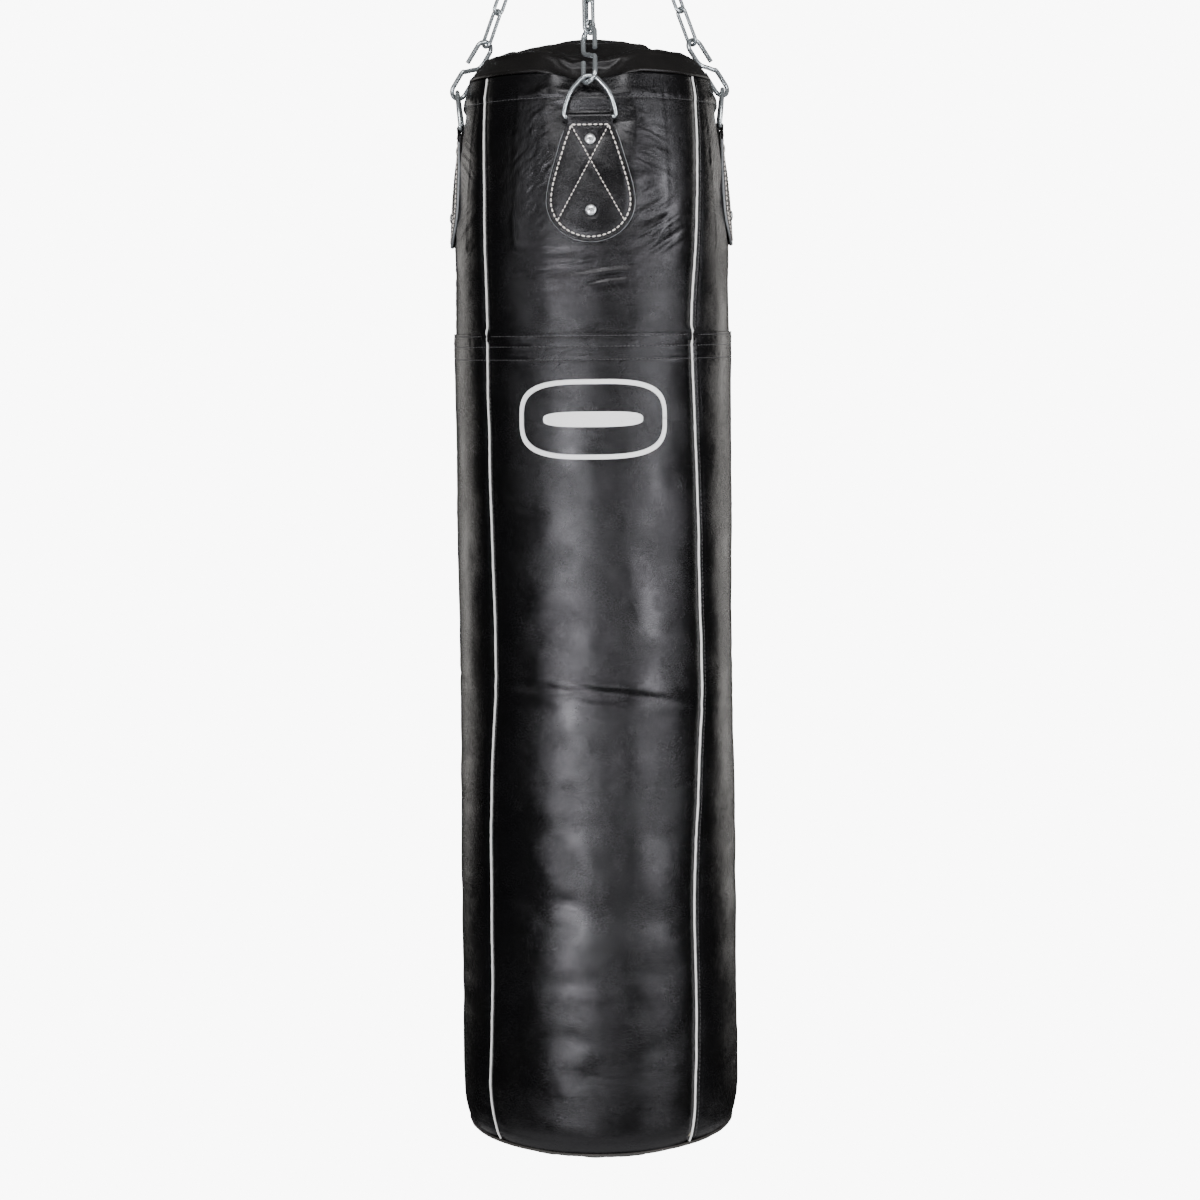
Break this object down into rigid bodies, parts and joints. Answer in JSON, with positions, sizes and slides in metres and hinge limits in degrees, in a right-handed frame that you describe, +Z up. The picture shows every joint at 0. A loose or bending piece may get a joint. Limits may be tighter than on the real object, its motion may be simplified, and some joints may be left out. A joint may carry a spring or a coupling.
{
  "type": "hanging punching bag",
  "caption": "Tall leather heavy bag with riveted lugs and D-rings, hung by short chains and S-hooks from a gather ring and a ball-bearing swivel with a hanging eye.",
  "frame": {"origin": "centre of the swivel's hanging eye", "axes": "+Z up along the bag, -Y towards the front of the bag, +Y along the hanging eye's bore, +X to the bag's left as it faces you from the front (viewer's right)"},
  "size_m": [0.3074, 0.3074, 1.6225],
  "materials": {
    "swivel_zinc": "bright zinc plate",
    "bearing_steel": "polished",
    "black_leather_upper": "semi-gloss grained leather",
    "black_leather_lower": "semi-gloss grained leather",
    "piping": "semi-gloss grained leather",
    "lug_leather": "semi-gloss grained leather",
    "rivet_steel": "bright zinc plate",
    "patch_leather": "semi-gloss grained leather",
    "canvas": "woven",
    "foam": "closed-cell foam",
    "fill": "woven",
    "top_leather": "semi-gloss grained leather",
    "bottom_leather": "semi-gloss grained leather",
    "ring_zinc": "bright zinc plate",
    "chain_zinc": "bright zinc plate",
    "hook_zinc": "bright zinc plate"
  },
  "bodies": {
    "swivel_head": {"swivel_cap_eye": "swivel_zinc", "swivel_housing": "swivel_zinc"},
    "ball_set": {"bearing_balls": "bearing_steel"},
    "swivel_shank": {"swivel_shank": "swivel_zinc", "swivel_lock_nut": "swivel_zinc", "thrust_race_upper": "bearing_steel"},
    "connecting_link": {"connecting_link": "swivel_zinc"},
    "bag": {"gather_ring": "swivel_zinc", "upper_leather_panels": "black_leather_upper", "lower_leather_panels": "black_leather_lower", "white_piping": "piping", "lug_straps": "lug_leather", "lug_rivets": "rivet_steel", "lug_backing_patches": "patch_leather", "canvas_lining": "canvas", "foam_wrap": "foam", "textile_fill": "fill", "top_cover": "top_leather", "top_cover_flap": "top_leather", "bottom_panel": "bottom_leather"},
    "front_d_ring": {"front_d_ring": "ring_zinc"},
    "front_link_1": {"front_chain_link_1": "chain_zinc"},
    "front_link_2": {"front_chain_link_2": "chain_zinc"},
    "front_link_3": {"front_chain_link_3": "chain_zinc"},
    "front_link_4": {"front_chain_link_4": "chain_zinc"},
    "front_link_5": {"front_chain_link_5": "chain_zinc"},
    "front_link_6": {"front_chain_link_6": "chain_zinc"},
    "front_link_7": {"front_chain_link_7": "chain_zinc"},
    "front_link_8": {"front_chain_link_8": "chain_zinc"},
    "front_s_hook": {"front_s_hook": "hook_zinc"},
    "right_d_ring": {"right_d_ring": "ring_zinc"},
    "right_link_1": {"right_chain_link_1": "chain_zinc"},
    "right_link_2": {"right_chain_link_2": "chain_zinc"},
    "right_link_3": {"right_chain_link_3": "chain_zinc"},
    "right_link_4": {"right_chain_link_4": "chain_zinc"},
    "right_link_5": {"right_chain_link_5": "chain_zinc"},
    "right_link_6": {"right_chain_link_6": "chain_zinc"},
    "right_link_7": {"right_chain_link_7": "chain_zinc"},
    "right_link_8": {"right_chain_link_8": "chain_zinc"},
    "right_s_hook": {"right_s_hook": "hook_zinc"},
    "back_d_ring": {"back_d_ring": "ring_zinc"},
    "back_link_1": {"back_chain_link_1": "chain_zinc"},
    "back_link_2": {"back_chain_link_2": "chain_zinc"},
    "back_link_3": {"back_chain_link_3": "chain_zinc"},
    "back_link_4": {"back_chain_link_4": "chain_zinc"},
    "back_link_5": {"back_chain_link_5": "chain_zinc"},
    "back_link_6": {"back_chain_link_6": "chain_zinc"},
    "back_link_7": {"back_chain_link_7": "chain_zinc"},
    "back_link_8": {"back_chain_link_8": "chain_zinc"},
    "back_s_hook": {"back_s_hook": "hook_zinc"},
    "left_d_ring": {"left_d_ring": "ring_zinc"},
    "left_link_1": {"left_chain_link_1": "chain_zinc"},
    "left_link_2": {"left_chain_link_2": "chain_zinc"},
    "left_link_3": {"left_chain_link_3": "chain_zinc"},
    "left_link_4": {"left_chain_link_4": "chain_zinc"},
    "left_link_5": {"left_chain_link_5": "chain_zinc"},
    "left_link_6": {"left_chain_link_6": "chain_zinc"},
    "left_link_7": {"left_chain_link_7": "chain_zinc"},
    "left_link_8": {"left_chain_link_8": "chain_zinc"},
    "left_s_hook": {"left_s_hook": "hook_zinc"}
  },
  "joints": [
    {"name": "bag_spin", "type": "hinge", "parent": "swivel_head", "child": "swivel_shank", "pos_m": [0, 0, -0.05], "axis": [0, 0, 1], "continuous": true},
    {"name": "bearing_balls_roll", "type": "hinge", "parent": "swivel_head", "child": "ball_set", "pos_m": [0, 0, -0.0544], "axis": [0, 0, 1], "continuous": true},
    {"name": "bag_swing_side", "type": "hinge", "parent": "swivel_shank", "child": "connecting_link", "pos_m": [0, 0, -0.0894], "axis": [0, 1, 0], "range_deg": [-30, 30]},
    {"name": "bag_swing_front_back", "type": "hinge", "parent": "connecting_link", "child": "bag", "pos_m": [0, 0, -0.1203], "axis": [1, 0, 0], "range_deg": [-30, 30]},
    {"name": "d_ring_front", "type": "hinge", "parent": "bag", "child": "front_d_ring", "pos_m": [0, -0.139, -0.52423], "axis": [1, 0, 0], "range_deg": [0, 104]},
    {"name": "d_ring_right", "type": "hinge", "parent": "bag", "child": "right_d_ring", "pos_m": [0.139, 0, -0.52528], "axis": [0, 1, 0], "range_deg": [0, 104]},
    {"name": "d_ring_back", "type": "hinge", "parent": "bag", "child": "back_d_ring", "pos_m": [0, 0.139, -0.52423], "axis": [-1, 0, 0], "range_deg": [0, 104]},
    {"name": "d_ring_left", "type": "hinge", "parent": "bag", "child": "left_d_ring", "pos_m": [-0.139, 0, -0.52528], "axis": [0, -1, 0], "range_deg": [0, 104]},
    {"name": "chain_front_1", "type": "hinge", "parent": "bag", "child": "front_link_1", "pos_m": [-0.00364, 0, -0.15492], "axis": [-0.9999, 0, -0.013], "range_deg": [0, 30]},
    {"name": "chain_front_2", "type": "hinge", "parent": "front_link_1", "child": "front_link_2", "pos_m": [-0.00321, -0.01313, -0.18822], "axis": [-0.0048, -0.9303, 0.3668], "range_deg": [-24, 24]},
    {"name": "chain_front_3", "type": "hinge", "parent": "front_link_2", "child": "front_link_3", "pos_m": [-0.00275, -0.02704, -0.22347], "axis": [-0.9952, -0.0943, 0.0243], "range_deg": [0, 30]},
    {"name": "chain_front_4", "type": "hinge", "parent": "front_link_3", "child": "front_link_4", "pos_m": [-0.00229, -0.04094, -0.25873], "axis": [0.197, -0.9112, 0.3619], "range_deg": [-24, 24]},
    {"name": "chain_front_5", "type": "hinge", "parent": "front_link_4", "child": "front_link_5", "pos_m": [-0.00183, -0.05485, -0.29398], "axis": [-0.9553, -0.2791, 0.0977], "range_deg": [0, 42]},
    {"name": "chain_front_6", "type": "hinge", "parent": "front_link_5", "child": "front_link_6", "pos_m": [-0.00137, -0.06875, -0.32924], "axis": [-0.3908, 0.8546, -0.3421], "range_deg": [0, 48]},
    {"name": "chain_front_7", "type": "hinge", "parent": "front_link_6", "child": "front_link_7", "pos_m": [-0.00092, -0.08265, -0.36449], "axis": [-0.8761, -0.4524, 0.167], "range_deg": [0, 54]},
    {"name": "chain_front_8", "type": "hinge", "parent": "front_link_7", "child": "front_link_8", "pos_m": [-0.00046, -0.09656, -0.39975], "axis": [-0.5684, 0.7628, -0.3082], "range_deg": [0, 78]},
    {"name": "hook_front", "type": "hinge", "parent": "front_link_8", "child": "front_s_hook", "pos_m": [0, -0.11046, -0.435], "axis": [-0.7608, -0.607, 0.2295], "range_deg": [0, 104]},
    {"name": "chain_right_1", "type": "hinge", "parent": "bag", "child": "right_link_1", "pos_m": [0.01053, 0, -0.15178], "axis": [0.9406, 0, 0.3394], "range_deg": [-24, 24]},
    {"name": "chain_right_2", "type": "hinge", "parent": "right_link_1", "child": "right_link_2", "pos_m": [0.02268, 0, -0.18545], "axis": [0, -1, 0], "range_deg": [0, 30]},
    {"name": "chain_right_3", "type": "hinge", "parent": "right_link_2", "child": "right_link_3", "pos_m": [0.03555, 0, -0.2211], "axis": [0.9335, -0.1233, 0.3368], "range_deg": [-24, 24]},
    {"name": "chain_right_4", "type": "hinge", "parent": "right_link_3", "child": "right_link_4", "pos_m": [0.04841, 0, -0.25675], "axis": [-0.2302, -0.9696, -0.0831], "range_deg": [0, 36]},
    {"name": "chain_right_5", "type": "hinge", "parent": "right_link_4", "child": "right_link_5", "pos_m": [0.06128, 0, -0.2924], "axis": [0.8767, -0.3623, 0.3164], "range_deg": [0, 42]},
    {"name": "chain_right_6", "type": "hinge", "parent": "right_link_5", "child": "right_link_6", "pos_m": [0.07414, 0, -0.32805], "axis": [-0.4463, -0.8803, -0.1611], "range_deg": [0, 48]},
    {"name": "chain_right_7", "type": "hinge", "parent": "right_link_6", "child": "right_link_7", "pos_m": [0.08701, 0, -0.3637], "axis": [0.7667, -0.5794, 0.2767], "range_deg": [0, 54]},
    {"name": "chain_right_8", "type": "hinge", "parent": "right_link_7", "child": "right_link_8", "pos_m": [0.09987, 0, -0.39935], "axis": [-0.6353, -0.7374, -0.2293], "range_deg": [0, 78]},
    {"name": "hook_right", "type": "hinge", "parent": "right_link_8", "child": "right_s_hook", "pos_m": [0.11273, 0, -0.435], "axis": [0.61, -0.7612, 0.2201], "range_deg": [0, 104]},
    {"name": "chain_back_1", "type": "hinge", "parent": "bag", "child": "back_link_1", "pos_m": [0.00364, 0, -0.15492], "axis": [0.9999, 0, -0.013], "range_deg": [0, 30]},
    {"name": "chain_back_2", "type": "hinge", "parent": "back_link_1", "child": "back_link_2", "pos_m": [0.00321, 0.01313, -0.18822], "axis": [0.0048, 0.9303, 0.3668], "range_deg": [-24, 24]},
    {"name": "chain_back_3", "type": "hinge", "parent": "back_link_2", "child": "back_link_3", "pos_m": [0.00275, 0.02704, -0.22347], "axis": [0.9952, 0.0943, 0.0243], "range_deg": [0, 30]},
    {"name": "chain_back_4", "type": "hinge", "parent": "back_link_3", "child": "back_link_4", "pos_m": [0.00229, 0.04094, -0.25873], "axis": [-0.197, 0.9112, 0.3619], "range_deg": [-24, 24]},
    {"name": "chain_back_5", "type": "hinge", "parent": "back_link_4", "child": "back_link_5", "pos_m": [0.00183, 0.05485, -0.29398], "axis": [0.9553, 0.2791, 0.0977], "range_deg": [0, 42]},
    {"name": "chain_back_6", "type": "hinge", "parent": "back_link_5", "child": "back_link_6", "pos_m": [0.00137, 0.06875, -0.32924], "axis": [0.3908, -0.8546, -0.3421], "range_deg": [0, 48]},
    {"name": "chain_back_7", "type": "hinge", "parent": "back_link_6", "child": "back_link_7", "pos_m": [0.00092, 0.08265, -0.36449], "axis": [0.8761, 0.4524, 0.167], "range_deg": [0, 54]},
    {"name": "chain_back_8", "type": "hinge", "parent": "back_link_7", "child": "back_link_8", "pos_m": [0.00046, 0.09656, -0.39975], "axis": [0.5684, -0.7628, -0.3082], "range_deg": [0, 78]},
    {"name": "hook_back", "type": "hinge", "parent": "back_link_8", "child": "back_s_hook", "pos_m": [0, 0.11046, -0.435], "axis": [0.7608, 0.607, 0.2295], "range_deg": [0, 104]},
    {"name": "chain_left_1", "type": "hinge", "parent": "bag", "child": "left_link_1", "pos_m": [-0.01053, 0, -0.15178], "axis": [-0.9406, 0, 0.3394], "range_deg": [-24, 24]},
    {"name": "chain_left_2", "type": "hinge", "parent": "left_link_1", "child": "left_link_2", "pos_m": [-0.02268, 0, -0.18545], "axis": [0, 1, 0], "range_deg": [0, 30]},
    {"name": "chain_left_3", "type": "hinge", "parent": "left_link_2", "child": "left_link_3", "pos_m": [-0.03555, 0, -0.2211], "axis": [-0.9335, 0.1233, 0.3368], "range_deg": [-24, 24]},
    {"name": "chain_left_4", "type": "hinge", "parent": "left_link_3", "child": "left_link_4", "pos_m": [-0.04841, 0, -0.25675], "axis": [0.2302, 0.9696, -0.0831], "range_deg": [0, 36]},
    {"name": "chain_left_5", "type": "hinge", "parent": "left_link_4", "child": "left_link_5", "pos_m": [-0.06128, 0, -0.2924], "axis": [-0.8767, 0.3623, 0.3164], "range_deg": [0, 42]},
    {"name": "chain_left_6", "type": "hinge", "parent": "left_link_5", "child": "left_link_6", "pos_m": [-0.07414, 0, -0.32805], "axis": [0.4463, 0.8803, -0.1611], "range_deg": [0, 48]},
    {"name": "chain_left_7", "type": "hinge", "parent": "left_link_6", "child": "left_link_7", "pos_m": [-0.08701, 0, -0.3637], "axis": [-0.7667, 0.5794, 0.2767], "range_deg": [0, 54]},
    {"name": "chain_left_8", "type": "hinge", "parent": "left_link_7", "child": "left_link_8", "pos_m": [-0.09987, 0, -0.39935], "axis": [0.6353, 0.7374, -0.2293], "range_deg": [0, 78]},
    {"name": "hook_left", "type": "hinge", "parent": "left_link_8", "child": "left_s_hook", "pos_m": [-0.11273, 0, -0.435], "axis": [-0.61, 0.7612, 0.2201], "range_deg": [0, 104]}
  ],
  "couplings": [
    {"joint": "bearing_balls_roll", "follows": "bag_spin", "ratio": 0.5}
  ]
}
